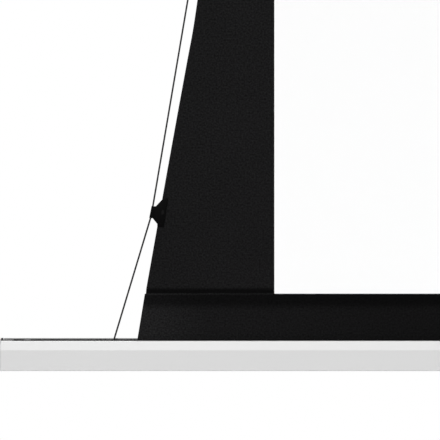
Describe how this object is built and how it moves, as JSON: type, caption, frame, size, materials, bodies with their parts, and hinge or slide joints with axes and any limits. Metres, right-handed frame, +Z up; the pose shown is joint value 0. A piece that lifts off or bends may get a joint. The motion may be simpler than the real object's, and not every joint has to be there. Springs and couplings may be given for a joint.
{
  "type": "electric projection screen",
  "caption": "Electric roll-up projection screen with side-tensioned fabric, black borders, weighted lower bar and a slim white case with sliding wall brackets.",
  "frame": {"origin": "centre of the flat top face of the case, between the lips of its bracket rail", "axes": "+X along the case, left to right as the viewer sees it; +Y from the viewer towards the wall; +Z up"},
  "size_m": [2.9549, 0.1331, 1.8311],
  "materials": {
    "white_paint": "white powder coat on aluminium",
    "white_plastic": "satin",
    "white_fabric": "matt",
    "black_fabric": "matt",
    "black_plastic": "satin",
    "dark_cable": "satin",
    "zinc_steel": "satin",
    "dark_steel": "satin",
    "bare_aluminium": "satin",
    "grey_nylon": "matt",
    "glassfibre": "satin",
    "dark_red_window": "gloss"
  },
  "bodies": {
    "case": {"case_back": "white_paint", "case_front": "white_paint", "end_cap_left": "white_plastic", "end_cap_right": "white_plastic", "end_plate_left": "zinc_steel", "end_plate_right": "zinc_steel", "motor_bracket": "zinc_steel", "motor_head": "black_plastic", "motor_tube": "zinc_steel", "motor_core": "dark_steel", "motor_gearbox": "dark_steel", "motor_lead": "black_plastic", "idler_bracket": "zinc_steel", "idler_pin": "zinc_steel", "control_box": "black_plastic", "power_gland": "black_plastic", "infrared_window": "dark_red_window", "viewing_fabric": "white_fabric", "side_border_left": "black_fabric", "side_border_right": "black_fabric", "top_drop": "black_fabric", "bottom_border": "black_fabric", "tension_cable_left": "dark_cable", "tension_cable_right": "dark_cable", "cable_tab_left_1": "black_plastic", "cable_tab_left_2": "black_plastic", "cable_tab_left_3": "black_plastic", "cable_tab_left_4": "black_plastic", "cable_tab_left_5": "black_plastic", "cable_tab_right_1": "black_plastic", "cable_tab_right_2": "black_plastic", "cable_tab_right_3": "black_plastic", "cable_tab_right_4": "black_plastic", "cable_tab_right_5": "black_plastic"},
    "roller": {"roller_tube": "bare_aluminium", "keeper_rod": "glassfibre", "fabric_turns": "black_fabric", "motor_crown": "grey_nylon", "output_shaft": "zinc_steel", "drive_wheel": "grey_nylon", "idler_plug": "grey_nylon", "idler_bearing": "zinc_steel"},
    "bar": {"bar_profile": "white_paint", "bar_end_cap_left": "white_plastic", "bar_end_cap_right": "white_plastic", "weight_rod": "dark_steel", "fabric_hem": "black_fabric", "hem_rod": "glassfibre"},
    "tension_screw_left": {"tension_screw_left": "zinc_steel"},
    "tension_screw_right": {"tension_screw_right": "zinc_steel"},
    "tension_block_left": {"tension_block_left": "zinc_steel"},
    "tension_block_right": {"tension_block_right": "zinc_steel"},
    "bracket_left": {"wall_bracket_left": "zinc_steel", "rail_bolt_left": "zinc_steel", "clamp_nut_left": "zinc_steel"},
    "bracket_right": {"wall_bracket_right": "zinc_steel", "rail_bolt_right": "zinc_steel", "clamp_nut_right": "zinc_steel"},
    "limit_screw_up": {"limit_screw_up": "zinc_steel"},
    "limit_screw_down": {"limit_screw_down": "zinc_steel"}
  },
  "joints": [
    {"name": "roller_spin", "type": "hinge", "parent": "case", "child": "roller", "pos_m": [0, -0.008, -0.058], "axis": [1, 0, 0], "range_deg": [0, 2429]},
    {"name": "bar_lift", "type": "slide", "parent": "case", "child": "bar", "axis": [0, 0, 1], "range_m": [0, 1.6111], "deforming": ["viewing_fabric", "side_border_left", "side_border_right", "top_drop", "bottom_border", "tension_cable_left", "tension_cable_right", "cable_tab_left_1", "cable_tab_left_2", "cable_tab_left_3", "cable_tab_left_4", "cable_tab_left_5", "cable_tab_right_1", "cable_tab_right_2", "cable_tab_right_3", "cable_tab_right_4", "cable_tab_right_5"]},
    {"name": "tension_screw_left_turn", "type": "hinge", "parent": "bar", "child": "tension_screw_left", "pos_m": [-1.37, 0.02875, -1.73825], "axis": [1, 0, 0], "range_deg": [-1800, 1800]},
    {"name": "tension_block_left_slide", "type": "slide", "parent": "bar", "child": "tension_block_left", "axis": [-1, 0, 0], "range_m": [-0.004, 0.004]},
    {"name": "tension_screw_right_turn", "type": "hinge", "parent": "bar", "child": "tension_screw_right", "pos_m": [1.37, 0.02875, -1.73825], "axis": [-1, 0, 0], "range_deg": [-1800, 1800]},
    {"name": "tension_block_right_slide", "type": "slide", "parent": "bar", "child": "tension_block_right", "axis": [1, 0, 0], "range_m": [-0.004, 0.004]},
    {"name": "bracket_left_slide", "type": "slide", "parent": "case", "child": "bracket_left", "axis": [1, 0, 0], "range_m": [-0.3, 0.3]},
    {"name": "bracket_right_slide", "type": "slide", "parent": "case", "child": "bracket_right", "axis": [1, 0, 0], "range_m": [-0.3, 0.3]},
    {"name": "limit_screw_up_turn", "type": "hinge", "parent": "case", "child": "limit_screw_up", "pos_m": [-1.434, -0.017, -0.0855], "axis": [0, 0, 1], "range_deg": [-1800, 1800]},
    {"name": "limit_screw_down_turn", "type": "hinge", "parent": "case", "child": "limit_screw_down", "pos_m": [-1.434, 0.001, -0.0855], "axis": [0, 0, 1], "range_deg": [-1800, 1800]}
  ],
  "couplings": [
    {"joint": "bar_lift", "follows": "roller_spin", "m_per_rad": 0.038},
    {"joint": "tension_screw_left_turn", "follows": "tension_block_left_slide", "rad_per_m": 7853.9},
    {"joint": "tension_screw_right_turn", "follows": "tension_block_right_slide", "rad_per_m": 7853.9}
  ]
}
